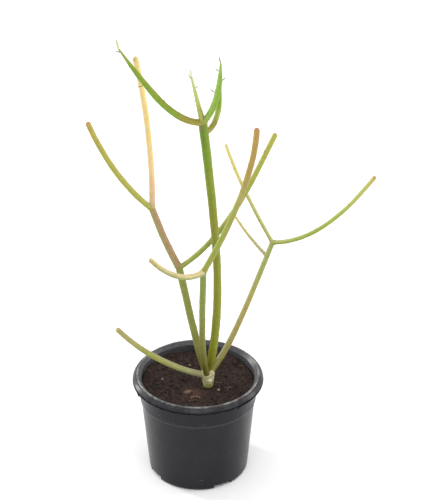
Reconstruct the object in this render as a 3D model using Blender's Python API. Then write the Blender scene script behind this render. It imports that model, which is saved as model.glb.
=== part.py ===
"""A potted pencil cactus: a young forked plant, rooted in peat in a round nursery pot.

Units are metres and +Z is up.  The origin is the centre of the pot's flat base, and the
viewer's side of the plant faces -Y.  A heading is an angle from +X towards +Y, and a lean
is the angle from straight up.
"""

from collections import namedtuple
from math import cos, pi, radians, sin, sqrt

import bmesh
import bpy
from mathutils import Vector

# --- Driving dimensions ---------------------------------------------------------------

GAP = 0.0003  # air left between two pieces that touch

# Pot: a 12 cm nursery pot with a rolled rim, a collar and a tapered body
RIM_RADIUS = 0.0600
RIM_TOP = 0.1016
RIM_SKIRT_BOTTOM = 0.0950
RIM_SKIRT_RADIUS = 0.0608
COLLAR_RADIUS = 0.0535
LEDGE_HEIGHT = 0.0750
BODY_TOP_RADIUS = 0.0529
BODY_FOOT_RADIUS = 0.0462
FOOT_ROUNDING = 0.0032
WALL = 0.0010
FLOOR = 0.0012
POT_SEGMENTS = 64

# Four drainage channels run outwards under the pot's floor
CHANNEL_HEADINGS = [radians(quarter * 90 + 30) for quarter in range(4)]
CHANNEL_HEIGHT = 0.0045
CHANNEL_WIDTH = 0.0185
CHANNEL_START = 0.0130
DRAIN_RADIUS = 0.0030
DRAIN_FROM_AXIS = 0.0360

# Soil: its surface lies about 13 mm under the rim
SOIL_LEVEL = 0.0905
SOIL_RINGS = 6
SOIL_SEGMENTS = 40

# Trunk: a short thick stump that widens upwards, with its foot in the soil
TRUNK_FOOT = Vector((0.0104, -0.0050, 0.0460))
TRUNK_TOP = Vector((0.0092, -0.0050, 0.1040))
TRUNK_RADII = (0.0040, 0.0045, 0.0064)
SCAR_CENTRE = Vector((0.0092, -0.0112, 0.1050))
SCAR_TILT = radians(38)
KNOB_CENTRE = Vector((0.0104, -0.0098, 0.0972))
KNOB_RADIUS = 0.0027

# Stems: each turns from its first lean and heading to its last, in degrees.  A bend over 1
# turns most near the base.  Radii are spaced evenly from the base to the tip.
GROWTH_STEPS = 24
RING_SPACING = 0.011
Stem = namedtuple("Stem", "parent at aside lean heading bend length radii")
STEMS = {
    "leader_stem": Stem(
        "trunk", 1.0, (0.0004, 0.0020), (12, 6), (-9, 184), 2.5, 0.260, (0.0040, 0.0035, 0.0040)
    ),
    "front_stem": Stem(
        "trunk", 1.0, (-0.0009, -0.0020), (34, 6), (257, 284), 2.4, 0.134, (0.0028, 0.0028, 0.0029)
    ),
    "right_stem": Stem(
        "trunk", 1.0, (0.0013, 0.0000), (43, 25), (25, 32), 3.7, 0.138, (0.0031, 0.0026, 0.0024)
    ),
    "left_stem": Stem(
        "trunk", 1.0, (-0.0017, 0.0005), (26, 15), (137, 142), 4.0, 0.106, (0.0033, 0.0033, 0.0034)
    ),
    "low_left_arm": Stem(
        "trunk", 0.96, (0.0000, -0.0005), (73, 37), (187, 205), 1.3, 0.109, (0.0030, 0.0027, 0.0023)
    ),
    "left_stem_upper": Stem(
        "left_stem", 1.0, (0, 0), (28, 21), (166, 157), 1.4, 0.062, (0.0033, 0.0032, 0.0032)
    ),
    "left_inner_branchlet": Stem(
        "left_stem", 1.0, (0, 0), (53, 24), (-3, 8), 2.3, 0.161, (0.0023, 0.0025, 0.0024)
    ),
    "left_pale_branchlet": Stem(
        "left_stem_upper", 1.0, (0, 0), (4, 15), (72, 146), 0.9, 0.144, (0.0028, 0.0026, 0.0026)
    ),
    "left_outer_branchlet": Stem(
        "left_stem_upper", 1.0, (0, 0), (44, 21), (209, 173), 1.1, 0.111, (0.0026, 0.0026, 0.0025)
    ),
    "front_right_branchlet": Stem(
        "front_stem", 1.0, (0, 0), (27, 7), (-4, 207), 0.4, 0.152, (0.0026, 0.0026, 0.0026)
    ),
    "front_left_branchlet": Stem(
        "front_stem", 1.0, (0, 0), (86, 38), (234, 209), 1.3, 0.075, (0.0027, 0.0025, 0.0021)
    ),
    "right_outer_branchlet": Stem(
        "right_stem", 1.0, (0, 0), (74, 37), (-33, 9), 1.6, 0.124, (0.0020, 0.0019, 0.0019)
    ),
    "right_inner_branchlet": Stem(
        "right_stem", 1.0, (0, 0), (38, 15), (144, 149), 0.4, 0.100, (0.0018, 0.0017, 0.0016)
    ),
    "right_low_branchlet": Stem(
        "right_stem", 0.90, (0, 0), (62, 43), (139, 139), 0.7, 0.047, (0.0016, 0.0014, 0.0012)
    ),
    "crown_left_arm": Stem(
        "leader_stem", 1.0, (0, 0), (77, 32), (220, 192), 3.0, 0.114,
        (0.0029, 0.0029, 0.0028, 0.0022, 0.0007),
    ),
    "crown_right_arm": Stem(
        "leader_stem", 1.0, (0, 0), (44, 2), (-47, -31), 1.4, 0.068,
        (0.0027, 0.0027, 0.0026, 0.0024, 0.0008),
    ),
    "crown_middle_arm": Stem(
        "leader_stem", 1.0, (0, 0), (24, 24), (247, 247), 1.3, 0.058, (0.0028, 0.0018, 0.0010)
    ),
    "crown_back_arm": Stem(
        "leader_stem", 0.965, (0, 0), (119, 0), (50, 60), 3.1, 0.055, (0.0025, 0.0024, 0.0017)
    ),
}

# Leaves: tiny, narrow and pointed, on the young growth of the crown only.  The last four
# values are lean and heading in degrees, length, and width.
Leaf = namedtuple("Leaf", "stem at lean heading length width")
LEAVES = {
    "crown_left_tip_leaf": Leaf("crown_left_arm", 1.0, 10, 175, 0.0085, 0.0020),
    "crown_left_leaf_1": Leaf("crown_left_arm", 0.96, 65, 195, 0.0045, 0.0008),
    "crown_left_leaf_2": Leaf("crown_left_arm", 0.64, 100, 190, 0.0050, 0.0007),
    "crown_left_leaf_3": Leaf("crown_left_arm", 0.44, 50, -20, 0.0030, 0.0007),
    "crown_left_leaf_4": Leaf("crown_left_arm", 0.35, 50, -35, 0.0025, 0.0007),
    "crown_middle_tip_leaf": Leaf("crown_middle_arm", 1.0, 4, 170, 0.0068, 0.0014),
    "crown_middle_leaf_1": Leaf("crown_middle_arm", 0.90, 30, 160, 0.0062, 0.0008),
    "crown_middle_leaf_2": Leaf("crown_middle_arm", 0.74, 45, 0, 0.0035, 0.0007),
    "crown_middle_leaf_3": Leaf("crown_middle_arm", 0.44, 55, 180, 0.0028, 0.0007),
    "crown_right_tip_leaf": Leaf("crown_right_arm", 1.0, 15, 177, 0.0070, 0.0012),
    "crown_right_leaf_1": Leaf("crown_right_arm", 0.57, 50, 185, 0.0050, 0.0008),
    "crown_right_leaf_2": Leaf("crown_right_arm", 0.75, 45, 0, 0.0045, 0.0008),
    "crown_right_leaf_3": Leaf("crown_right_arm", 0.88, 45, 176, 0.0043, 0.0007),
}

# Loose bits on the soil: centre, heading in degrees, and half sizes
Bit = namedtuple("Bit", "x y heading half_sizes")
SOIL_BITS = {
    "soil_bark_chip": Bit(-0.0090, -0.0195, 35, (0.0042, 0.0027, 0.0013)),
    "soil_grit_left": Bit(-0.0330, 0.0010, 10, (0.0015, 0.0012, 0.0010)),
    "soil_grit_back": Bit(-0.0080, 0.0260, 70, (0.0014, 0.0010, 0.0009)),
    "soil_grit_front": Bit(0.0190, -0.0150, 25, (0.0016, 0.0012, 0.0010)),
}
FIBRE_CENTRE = (-0.0020, -0.0290)
FIBRE_REACH = 0.0042
FIBRE_RADIUS = 0.0006
FIBRE_TURN = radians(150)


# --- Materials ------------------------------------------------------------------------


def material(name, colour, roughness):
    """A plain opaque material; colour is linear red, green and blue."""
    made = bpy.data.materials.new(name)
    made.use_nodes = True
    shader = made.node_tree.nodes["Principled BSDF"]
    shader.inputs["Base Color"].default_value = (*colour, 1)
    shader.inputs["Roughness"].default_value = roughness
    shader.inputs["Metallic"].default_value = 0
    return made


# --- Objects --------------------------------------------------------------------------


def add_object(name, mesh, look=None):
    """A new object in the scene, shaded smooth except at real edges."""
    mesh.shade_smooth()
    mesh.set_sharp_from_angle(angle=radians(40))
    obj = bpy.data.objects.new(name, mesh)
    bpy.context.scene.collection.objects.link(obj)
    if look:
        mesh.materials.append(look)
    return obj


def add_cutter(name, mesh):
    """An object that only shapes other objects."""
    cutter = add_object(name, mesh)
    cutter.hide_render = True
    cutter.display_type = "WIRE"
    return cutter


def boolean(obj, other, operation):
    step = obj.modifiers.new(f"{operation.lower()} {other.name}", "BOOLEAN")
    step.object = other
    step.operation = operation
    step.solver = "EXACT"


def mesh_from(name, shape):
    """A mesh of a finished bmesh, which is freed."""
    bmesh.ops.recalc_face_normals(shape, faces=shape.faces)
    mesh = bpy.data.meshes.new(name)
    shape.to_mesh(mesh)
    shape.free()
    return mesh


def turned_mesh(name, profile, segments):
    """A solid of revolution about Z, from (radius, height) points that start and end on Z."""
    shape = bmesh.new()
    points = [shape.verts.new((radius, 0, height)) for radius, height in profile]
    edges = [shape.edges.new(pair) for pair in zip(points, points[1:])]
    bmesh.ops.spin(
        shape, geom=points + edges, axis=(0, 0, 1), cent=(0, 0, 0), angle=2 * pi, steps=segments
    )
    bmesh.ops.remove_doubles(shape, verts=shape.verts, dist=1e-6)
    return mesh_from(name, shape)


def box_mesh(name, low, high):
    shape = bmesh.new()
    bmesh.ops.create_cube(shape, size=1)
    size = Vector(high) - Vector(low)
    bmesh.ops.scale(shape, vec=size, verts=shape.verts)
    bmesh.ops.translate(shape, vec=Vector(low) + size / 2, verts=shape.verts)
    return mesh_from(name, shape)


def ball_mesh(name, half_sizes, across=8, up=6):
    shape = bmesh.new()
    bmesh.ops.create_uvsphere(shape, u_segments=across, v_segments=up, radius=1)
    bmesh.ops.scale(shape, vec=half_sizes, verts=shape.verts)
    return mesh_from(name, shape)


def tube_mesh(name, line, fineness):
    """A closed tube along (point, radius) pairs, from a curve with a round bevel."""
    curve = bpy.data.curves.new(name, "CURVE")
    curve.dimensions = "3D"
    curve.bevel_depth = 1
    curve.bevel_resolution = fineness
    curve.use_fill_caps = True
    spline = curve.splines.new("POLY")
    spline.points.add(len(line) - 1)
    for knot, (point, radius) in zip(spline.points, line):
        knot.co = (*point, 1)
        knot.radius = radius
    guide = bpy.data.objects.new(name, curve)
    shape = bmesh.new()
    shape.from_mesh(bpy.data.meshes.new_from_object(guide))
    bpy.data.objects.remove(guide)
    bmesh.ops.remove_doubles(shape, verts=shape.verts, dist=1e-6)
    return mesh_from(name, shape)


# --- Pot ------------------------------------------------------------------------------


def body_radius(height):
    """Outer radius of the tapered body under the ledge."""
    share = height / LEDGE_HEIGHT
    return BODY_FOOT_RADIUS + share * (BODY_TOP_RADIUS - BODY_FOOT_RADIUS)


def foot_arc(inset, floor):
    """Points of the rounded foot corner, from the wall down to the floor."""
    centre = body_radius(FOOT_ROUNDING) - FOOT_ROUNDING - inset
    return [
        (centre + FOOT_ROUNDING * cos(turn), floor + FOOT_ROUNDING * (1 - sin(turn)))
        for turn in (0, pi / 6, pi / 3, pi / 2)
    ]


def inner_wall(clearance, top):
    """The pot's inside from the middle of its floor up to a height, and a clearance in from it."""
    inset = WALL + clearance
    floor = FLOOR + clearance
    return (
        [(0, floor)]
        + foot_arc(inset, floor)[::-1]
        + [
            (BODY_TOP_RADIUS - inset, LEDGE_HEIGHT - 0.0004),
            (COLLAR_RADIUS - inset, LEDGE_HEIGHT + 0.0010),
            (COLLAR_RADIUS - inset, top),
        ]
    )


def rolled_rim():
    """The lip, from its inner edge over the top and down the outer skirt to the collar."""
    inner = COLLAR_RADIUS - WALL
    return [
        (inner + 0.0008, RIM_TOP - 0.0008),
        (inner + 0.0026, RIM_TOP),
        (RIM_RADIUS - 0.0025, RIM_TOP - 0.0001),
        (RIM_RADIUS - 0.0007, RIM_TOP - 0.0010),
        (RIM_RADIUS, RIM_TOP - 0.0027),
        (RIM_SKIRT_RADIUS, RIM_SKIRT_BOTTOM),
        (RIM_SKIRT_RADIUS - WALL, RIM_SKIRT_BOTTOM),
        (RIM_RADIUS - 0.0015, RIM_TOP - 0.0030),
        (COLLAR_RADIUS + 0.0008, RIM_TOP - 0.0026),
        (COLLAR_RADIUS, RIM_TOP - 0.0038),
    ]


def outer_wall():
    """The collar, the ledge under it, the tapered body and the rounded foot."""
    return [
        (COLLAR_RADIUS, LEDGE_HEIGHT + 0.0008),
        (COLLAR_RADIUS + 0.0004, LEDGE_HEIGHT),
        (BODY_TOP_RADIUS, LEDGE_HEIGHT - 0.0012),
    ] + foot_arc(0, 0)


def channel_box(name, margin, low, high):
    """A box along +X over one drainage channel, moved out on all sides by a margin."""
    return box_mesh(
        name,
        (CHANNEL_START - margin, -CHANNEL_WIDTH / 2 - margin, low),
        (BODY_FOOT_RADIUS - WALL / 2 if margin else RIM_RADIUS, CHANNEL_WIDTH / 2 + margin, high),
    )


def drain_hole_mesh():
    shape = bmesh.new()
    bmesh.ops.create_cone(
        shape, segments=20, radius1=DRAIN_RADIUS, radius2=DRAIN_RADIUS, depth=0.008, cap_ends=True
    )
    place = Vector((DRAIN_FROM_AXIS, 0, CHANNEL_HEIGHT))
    bmesh.ops.translate(shape, vec=place, verts=shape.verts)
    return mesh_from("drain_hole", shape)


def add_pot(look):
    profile = inner_wall(0, RIM_TOP - 0.0018) + rolled_rim() + outer_wall() + [(0, 0)]
    pot = add_object("nursery_pot", turned_mesh("nursery_pot", profile, POT_SEGMENTS), look)
    roof = channel_box("channel_roof", FLOOR, FLOOR / 2, CHANNEL_HEIGHT + FLOOR)
    groove = channel_box("channel_groove", 0, -FLOOR, CHANNEL_HEIGHT)
    drain = drain_hole_mesh()
    for operation, mesh in (("UNION", roof), ("DIFFERENCE", groove), ("DIFFERENCE", drain)):
        for heading in CHANNEL_HEADINGS:
            tool = add_cutter(mesh.name, mesh)
            tool.rotation_euler.z = heading
            boolean(pot, tool, operation)
    return pot


# --- Soil -----------------------------------------------------------------------------


def soil_height(x, y):
    """Height of the uneven soil surface: low mounds, and a rise to the trunk and the wall."""
    mounds = sin(170 * x + 1.0) * cos(140 * y - 0.4) + 0.6 * sin(260 * y + 120 * x)
    from_trunk = sqrt((x - TRUNK_TOP.x) ** 2 + (y - TRUNK_TOP.y) ** 2)
    dish = 0.0030 * (x**2 + y**2) / 0.0525**2
    return SOIL_LEVEL + dish + 0.0007 * mounds + 0.0010 * max(0, 1 - from_trunk / 0.015)


def add_soil(look, trunk_cutter):
    profile = inner_wall(GAP, SOIL_LEVEL)
    edge_radius = profile[-1][0]
    for ring in range(SOIL_RINGS - 1, -1, -1):
        profile.append((edge_radius * ring / SOIL_RINGS, SOIL_LEVEL))
    mesh = turned_mesh("potting_soil", profile, SOIL_SEGMENTS)
    for vertex in mesh.vertices:
        if vertex.co.z > SOIL_LEVEL - 0.001:
            vertex.co.z = soil_height(vertex.co.x, vertex.co.y)
    soil = add_object("potting_soil", mesh, look)
    boolean(soil, trunk_cutter, "DIFFERENCE")
    over_roof = channel_box("over_channel", FLOOR + GAP, 0, CHANNEL_HEIGHT + FLOOR + GAP)
    for heading in CHANNEL_HEADINGS:
        cutter = add_cutter("over_channel", over_roof)
        cutter.rotation_euler.z = heading
        boolean(soil, cutter, "DIFFERENCE")
    return soil


def add_soil_bits(bark_look, grit_look):
    for name, bit in SOIL_BITS.items():
        look = bark_look if "bark" in name else grit_look
        chip = add_object(name, ball_mesh(name, bit.half_sizes), look)
        reach = max(bit.half_sizes[:2])
        around = [(bit.x + reach * cos(a), bit.y + reach * sin(a)) for a in (0, 1.6, 3.1, 4.7)]
        floor = max(soil_height(x, y) for x, y in around + [(bit.x, bit.y)])
        chip.location = (bit.x, bit.y, floor + GAP + bit.half_sizes[2])
        chip.rotation_euler.z = radians(bit.heading)


def add_fibre(look):
    """A curved strip of root fibre that lies on the soil in front of the trunk."""
    line = []
    for step in range(9):
        turn = FIBRE_TURN * (step / 8 - 0.5) + pi / 2
        x = FIBRE_CENTRE[0] + FIBRE_REACH * cos(turn)
        y = FIBRE_CENTRE[1] + FIBRE_REACH * sin(turn)
        line.append(Vector((x, y, 0)))
    floor = max(soil_height(point.x, point.y) for point in line)
    lifted = [(point + Vector((0, 0, floor + GAP + FIBRE_RADIUS)), FIBRE_RADIUS) for point in line]
    add_object("soil_root_fibre", tube_mesh("soil_root_fibre", lifted, 2), look)


# --- Trunk and stems ------------------------------------------------------------------


def direction(lean, heading):
    lean = radians(lean)
    heading = radians(heading)
    return Vector((sin(lean) * cos(heading), sin(lean) * sin(heading), cos(lean)))


def growth_line(start, stem):
    """Points along a stem, whose direction turns from its first to its last."""
    first = direction(stem.lean[0], stem.heading[0])
    last = direction(stem.lean[1], stem.heading[1])
    points = [start]
    for step in range(GROWTH_STEPS):
        turned = 1 - (1 - (step + 0.5) / GROWTH_STEPS) ** stem.bend
        points.append(points[-1] + first.slerp(last, turned) * stem.length / GROWTH_STEPS)
    return points


def point_on(points, share):
    """The point at a share of the way along a line of equal steps."""
    place = min(max(share, 0), 1) * (len(points) - 1)
    step = min(int(place), len(points) - 2)
    return points[step].lerp(points[step + 1], place - step)


def growth_lines():
    """The centre line of the trunk and of every stem, by name."""
    lines = {"trunk": [TRUNK_FOOT, TRUNK_TOP]}
    for name, stem in STEMS.items():
        start = point_on(lines[stem.parent], stem.at) + Vector((*stem.aside, 0))
        lines[name] = growth_line(start, stem)
    return lines


def radius_at(radii, share):
    """Radius at a share of the way along, between evenly spaced values."""
    place = min(max(share, 0), 1) * (len(radii) - 1)
    step = min(int(place), len(radii) - 2)
    return radii[step] + (radii[step + 1] - radii[step]) * (place - step)


def round_line(points, radii, swell=0.0, forked=False):
    """(point, radius) pairs of a tube with rounded ends.  A forked tip is rounded about the
    fork, a free tip ends in its round, and a swell makes the tube thicker and longer."""
    length = sum((b - a).length for a, b in zip(points, points[1:]))
    tip_direction = (points[-1] - points[-2]).normalized()
    extra = swell + (radii[-1] if forked else 0)
    end = length + extra
    turns = (radians(20), radians(50), radians(75))
    stations = [radii[0] * (1 - cos(turn)) for turn in turns]
    middle = max(6, round(length / RING_SPACING))
    stations += [radii[0] + (length - radii[0]) * step / middle for step in range(middle)]
    stations += [end - (radii[-1] + swell) * (1 - cos(turn)) for turn in turns[::-1]]
    line = []
    for station in sorted(stations):
        radius = radius_at(radii, min(station / length, 1)) + swell
        from_base = min(1, (station + swell) / radius)
        from_tip = min(1, (end - station) / (radii[-1] + swell))
        rounding = sqrt(1 - (1 - from_base) ** 2) * sqrt(1 - (1 - from_tip) ** 2)
        past_end = max(0, station - length)
        point = point_on(points, station / length) + tip_direction * past_end
        line.append((point, radius * rounding))
    return line


def add_trunk(look):
    """The stump, with an oblique cut where a stem was taken, and a knob under it."""
    line = [TRUNK_FOOT, TRUNK_FOOT.lerp(TRUNK_TOP, 0.5), TRUNK_TOP]
    trunk = add_object("trunk", tube_mesh("trunk", round_line(line, TRUNK_RADII, 0, True), 4), look)
    knob = add_cutter("trunk_knob", ball_mesh("trunk_knob", [KNOB_RADIUS] * 3, 12, 8))
    knob.location = KNOB_CENTRE
    boolean(trunk, knob, "UNION")
    half = 0.012
    scar = add_cutter("trunk_scar", box_mesh("trunk_scar", (-half, -half, 0), (half, half, half)))
    scar.location = SCAR_CENTRE
    scar.rotation_euler.x = SCAR_TILT
    boolean(trunk, scar, "DIFFERENCE")
    grown = round_line(line, TRUNK_RADII, GAP, True)
    return add_cutter("clear_trunk", tube_mesh("clear_trunk", grown, 4))


def add_stems(lines, looks, trunk_cutter):
    """Every stem, cut clear of its parent and of the stems before it at the same fork."""
    cutters = {"trunk": trunk_cutter}
    for name, stem in STEMS.items():
        forked = any(other.parent == name and other.at == 1 for other in STEMS.values())
        mesh = tube_mesh(name, round_line(lines[name], stem.radii, 0, forked), 3)
        obj = add_object(name, mesh, looks[name])
        neighbours = [stem.parent] + [
            other for other in cutters if other in STEMS and STEMS[other].parent == stem.parent
        ]
        for other in neighbours:
            boolean(obj, cutters[other], "DIFFERENCE")
        swollen = round_line(lines[name], stem.radii, GAP, forked)
        cutters[name] = add_cutter(f"clear_{name}", tube_mesh(f"clear_{name}", swollen, 3))


# --- Leaves ---------------------------------------------------------------------------


def leaf_mesh(name, leaf):
    """A flat pointed blade along +Z that starts at the origin."""
    shape = bmesh.new()
    bmesh.ops.create_uvsphere(shape, u_segments=8, v_segments=8, radius=1)
    half_sizes = (leaf.width / 2, leaf.width / 4, leaf.length / 2)
    for vertex in shape.verts:
        narrowing = (1 - abs(vertex.co.z)) ** 0.3
        vertex.co.x *= narrowing
        vertex.co.y *= narrowing
        vertex.co.z += 1
    bmesh.ops.scale(shape, vec=half_sizes, verts=shape.verts)
    return mesh_from(name, shape)


def add_leaves(lines, look):
    for name, leaf in LEAVES.items():
        line = lines[leaf.stem]
        radii = STEMS[leaf.stem].radii
        along = (point_on(line, leaf.at + 0.02) - point_on(line, leaf.at - 0.02)).normalized()
        pointing = direction(leaf.lean, leaf.heading)
        place = point_on(line, leaf.at)
        if leaf.at < 1:
            outwards = (pointing - along * pointing.dot(along)).normalized()
            place += outwards * (radius_at(radii, leaf.at) + GAP)
        else:
            place += along * GAP
        blade = add_object(name, leaf_mesh(name, leaf), look)
        blade.location = place
        blade.rotation_euler = (0, radians(leaf.lean), radians(leaf.heading))


# --- Build ----------------------------------------------------------------------------


def stem_looks():
    """One material for each stem, by the colour it has over most of its length."""
    deep_green = material("deep_green_stem", (0.10, 0.20, 0.045), 0.5)
    olive = material("olive_stem", (0.20, 0.26, 0.09), 0.5)
    yellow_green = material("yellow_green_stem", (0.33, 0.37, 0.09), 0.5)
    pale_peach = material("pale_peach_stem", (0.55, 0.43, 0.22), 0.5)
    looks = {name: olive for name in STEMS}
    for name in ("leader_stem", "crown_left_arm", "crown_right_arm", "crown_back_arm"):
        looks[name] = deep_green
    for name in ("left_outer_branchlet", "right_outer_branchlet", "right_inner_branchlet"):
        looks[name] = yellow_green
    for name in ("left_pale_branchlet", "front_left_branchlet", "right_low_branchlet"):
        looks[name] = pale_peach
    return looks


def build():
    for obj in list(bpy.data.objects):
        bpy.data.objects.remove(obj)
    lines = growth_lines()
    add_pot(material("black_pot", (0.030, 0.029, 0.034), 0.4))
    trunk_cutter = add_trunk(material("trunk_bark", (0.24, 0.24, 0.14), 0.6))
    add_soil(material("dark_peat", (0.035, 0.018, 0.011), 0.95), trunk_cutter)
    add_stems(lines, stem_looks(), trunk_cutter)
    add_leaves(lines, material("young_leaf", (0.30, 0.42, 0.12), 0.5))
    fibre = material("dry_fibre", (0.36, 0.23, 0.12), 0.8)
    add_soil_bits(fibre, material("pale_grit", (0.55, 0.51, 0.45), 0.9))
    add_fibre(fibre)


build()
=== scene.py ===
"""A potted pencil cactus: a young forked plant, rooted in peat in a round nursery pot.

Lengths are metres.  +Z is up, the pot's flat base is at the origin, and -Y is the front.
A heading is an angle from +X towards +Y, and a lean is the angle from straight up.
"""

import random
from math import cos, exp, pi, radians, sin, sqrt

import bpy
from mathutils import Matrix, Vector, noise


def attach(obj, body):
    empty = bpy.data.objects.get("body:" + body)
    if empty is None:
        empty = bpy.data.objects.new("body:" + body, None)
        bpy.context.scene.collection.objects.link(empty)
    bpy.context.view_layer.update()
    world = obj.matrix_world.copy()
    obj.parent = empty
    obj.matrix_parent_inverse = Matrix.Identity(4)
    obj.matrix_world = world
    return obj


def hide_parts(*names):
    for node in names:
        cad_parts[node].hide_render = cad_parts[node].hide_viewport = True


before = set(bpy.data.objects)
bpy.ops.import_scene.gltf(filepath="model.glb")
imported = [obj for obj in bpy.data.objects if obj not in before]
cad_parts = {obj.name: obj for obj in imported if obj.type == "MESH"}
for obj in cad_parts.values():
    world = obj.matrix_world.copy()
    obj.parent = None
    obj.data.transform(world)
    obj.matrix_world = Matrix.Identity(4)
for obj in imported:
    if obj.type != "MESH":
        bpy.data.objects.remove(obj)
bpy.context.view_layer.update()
bpy.ops.object.select_all(action="DESELECT")


# --- Nursery pot ------------------------------------------------------------------------
# A 12 cm nursery pot, moulded in one thin wall of black polypropylene.  It has a rolled lip
# with a hanging skirt, a collar, a ledge, a tapered body and four drainage channels under it.

RIM_RADIUS = 0.0600
RIM_TOP = 0.1016
SKIRT_BOTTOM = 0.0950
SKIRT_RADIUS = 0.0608
BEAD_RADIUS = 0.0562
COLLAR_RADIUS = 0.0535
LEDGE_HEIGHT = 0.0760
BODY_TOP = 0.0529
BODY_FOOT = 0.0462
WALL = 0.0010
POT_FLOOR = 0.0012
CHANNEL_HEADINGS = [30, 120, 210, 300]
CHANNEL_HEIGHT = 0.0045
CHANNEL_WIDTH = 0.0185
CHANNEL_START = 0.0130
DRAIN_RADIUS = 0.0030
DRAIN_FROM_AXIS = 0.0360
FLASH_CURLS = ((-0.0545, -0.0268), (0.0372, -0.0480))
FLASH_SPREAD = 0.0026
TRIM_RAGGEDNESS = 0.00032


def filleted(corners, steps=5):
    """Points of a profile of (radius, height, fillet) corners, each fillet as a small arc."""
    points = []
    for index, (radius, height, fillet) in enumerate(corners):
        corner = Vector((radius, height))
        if not fillet:
            points.append(corner)
            continue
        before = (Vector(corners[index - 1][:2]) - corner).normalized()
        after = (Vector(corners[index + 1][:2]) - corner).normalized()
        half = before.angle(after) / 2
        reach = fillet * cos(half) / sin(half)
        centre = corner + (before + after).normalized() * fillet / sin(half)
        first = (corner + before * reach - centre).normalized()
        last = (corner + after * reach - centre).normalized()
        for step in range(steps + 1):
            points.append(centre + first.slerp(last, step / steps) * fillet)
    return points


def turn_on_axis(name, profile, steps):
    """A solid of revolution about the upright axis, spun from its half profile."""
    bpy.ops.mesh.primitive_plane_add(size=1, location=(0, 0, 0))
    piece = bpy.context.object
    piece.name = name
    bpy.ops.object.mode_set(mode="EDIT")
    bpy.ops.mesh.select_mode(type="VERT")
    bpy.ops.mesh.merge(type="CENTER")
    bpy.ops.transform.translate(value=(profile[0][0], 0, profile[0][1]))
    for start, end in zip(profile, profile[1:]):
        step = (end[0] - start[0], 0, end[1] - start[1])
        bpy.ops.mesh.extrude_region_move(TRANSFORM_OT_translate={"value": step})
    bpy.ops.mesh.select_all(action="SELECT")
    bpy.ops.mesh.spin(steps=steps, angle=2 * pi, center=(0, 0, 0), axis=(0, 0, 1))
    bpy.ops.mesh.select_all(action="SELECT")
    bpy.ops.mesh.remove_doubles(threshold=1e-6)
    bpy.ops.mesh.normals_make_consistent(inside=False)
    bpy.ops.object.mode_set(mode="OBJECT")
    return piece


def cut_or_join(piece, tool, operation):
    """One Boolean step, applied, after which its tool is thrown away."""
    step = piece.modifiers.new(operation, "BOOLEAN")
    step.object = tool
    step.operation = operation
    step.solver = "EXACT"
    bpy.context.view_layer.objects.active = piece
    bpy.ops.object.modifier_apply(modifier=step.name)
    bpy.data.objects.remove(tool)


def channel_block(margin, low, high, heading):
    """A bar along one drainage channel with rounded upper edges, larger by a margin."""
    end = BODY_FOOT - WALL / 2 if margin else RIM_RADIUS
    start = CHANNEL_START - margin
    bpy.ops.mesh.primitive_cube_add(size=1, location=((start + end) / 2, 0, (low + high) / 2))
    bar = bpy.context.object
    bar.scale = (end - start, CHANNEL_WIDTH + 2 * margin, high - low)
    bpy.ops.object.transform_apply(location=True, rotation=False, scale=True)
    for edge in bar.data.edges:
        edge.select = all(bar.data.vertices[corner].co.z > high - 1e-5 for corner in edge.vertices)
    bpy.ops.object.mode_set(mode="EDIT")
    bpy.ops.mesh.select_mode(type="EDGE")
    bpy.ops.mesh.bevel(offset=0.0010 + margin / 2, segments=4, affect="EDGES")
    bpy.ops.object.mode_set(mode="OBJECT")
    bar.rotation_euler.z = radians(heading)
    bpy.ops.object.transform_apply(location=False, rotation=True, scale=False)
    return bar


def add_node(tree, kind, settings=None, **inputs):
    """Adds a shader node.  Each input is a value or the output of another node."""
    node = tree.nodes.new("ShaderNode" + kind)
    for name, value in (settings or {}).items():
        setattr(node, name, value)
    for name, value in inputs.items():
        socket = node.inputs[name.replace("_", " ")]
        if isinstance(value, bpy.types.NodeSocket):
            tree.links.new(value, socket)
        else:
            socket.default_value = value
    return node


def sum_up(tree, operation, first, second=0.0, third=0.0):
    """One step of arithmetic on two or three values."""
    node = tree.nodes.new("ShaderNodeMath")
    node.operation = operation
    for socket, value in zip(node.inputs, (first, second, third)):
        if isinstance(value, bpy.types.NodeSocket):
            tree.links.new(value, socket)
        else:
            socket.default_value = value
    return node.outputs[0]


def mix_paint(tree, share, first, second, how="MIX"):
    """One colour laid over another, by a share from 0 to 1."""
    node = tree.nodes.new("ShaderNodeMix")
    node.data_type = "RGBA"
    node.blend_type = how
    for index, value in ((0, share), (6, first), (7, second)):
        if isinstance(value, bpy.types.NodeSocket):
            tree.links.new(value, node.inputs[index])
        else:
            node.inputs[index].default_value = (*value, 1) if index else value
    return node.outputs[2]


def fade(tree, value, low, high):
    """0 where the value is under its low end, 1 over its high end, and smooth between."""
    node = add_node(tree, "MapRange", {"interpolation_type": "SMOOTHSTEP"}, Value=value)
    node.inputs["From Min"].default_value = low
    node.inputs["From Max"].default_value = high
    return node.outputs[0]


def grain(tree, place, scale, detail=3.0, roughness=0.55):
    """Cloudy noise, as a value from 0 to 1, of so many lumps to a metre."""
    node = add_node(tree, "TexNoise", Vector=place, Scale=scale, Detail=detail, Roughness=roughness)
    return node.outputs[0]


def new_finish(name):
    """A new material with its tree and its shader."""
    finish = bpy.data.materials.new(name)
    finish.use_nodes = True
    return finish, finish.node_tree, finish.node_tree.nodes["Principled BSDF"]


def wire(tree, shader, colour, roughness, height, distance):
    """Joins a finish's colour, roughness and relief to its shader."""
    tree.links.new(colour, shader.inputs["Base Color"])
    tree.links.new(roughness, shader.inputs["Roughness"])
    relief = add_node(tree, "Bump", Height=height, Distance=distance)
    tree.links.new(relief.outputs[0], shader.inputs["Normal"])


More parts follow.
